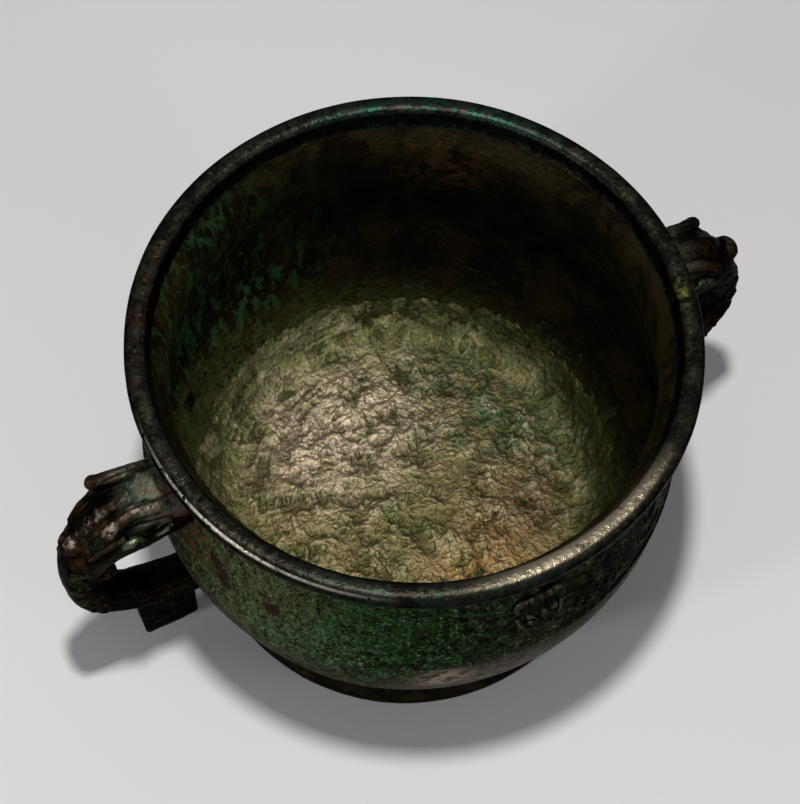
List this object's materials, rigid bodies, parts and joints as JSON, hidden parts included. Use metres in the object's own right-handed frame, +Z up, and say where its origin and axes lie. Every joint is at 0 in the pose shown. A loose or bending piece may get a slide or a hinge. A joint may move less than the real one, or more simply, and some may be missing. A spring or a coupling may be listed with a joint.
{
  "type": "two-handled ritual food vessel",
  "caption": "Wide round bronze food vessel on a ring foot, with a thick rounded rim, bands in low relief and two loop handles topped by animal heads with hanging lugs.",
  "frame": {"origin": "centre of the ring foot, on the ground", "axes": "+X through the two handles, +Y from the front mask to the back mask, +Z up"},
  "size_m": [0.293, 0.21, 0.159],
  "materials": {
    "bowl_bronze": "old bronze, pitted and green-brown inside, smooth and dark outside",
    "foot_bronze": "dark brown old bronze with green patches",
    "handle_bronze": "dark old bronze, polished on the high spots",
    "spacer_bronze": "redder old bronze, flush with the wall",
    "core_clay": "fired clay"
  },
  "bodies": {
    "root": {"bowl": "bowl_bronze", "ring_foot": "foot_bronze", "handle_right": "handle_bronze", "handle_left": "handle_bronze", "handle_core_right": "core_clay", "handle_core_left": "core_clay", "front_mask": "bowl_bronze", "back_mask": "bowl_bronze", "floor_chaplet_1": "spacer_bronze", "floor_chaplet_2": "spacer_bronze", "floor_chaplet_3": "spacer_bronze", "floor_chaplet_4": "spacer_bronze", "upper_chaplet_1": "spacer_bronze", "upper_chaplet_2": "spacer_bronze", "upper_chaplet_3": "spacer_bronze", "upper_chaplet_4": "spacer_bronze", "lower_chaplet_1": "spacer_bronze", "lower_chaplet_2": "spacer_bronze", "lower_chaplet_3": "spacer_bronze", "lower_chaplet_4": "spacer_bronze"}
  },
  "joints": []
}
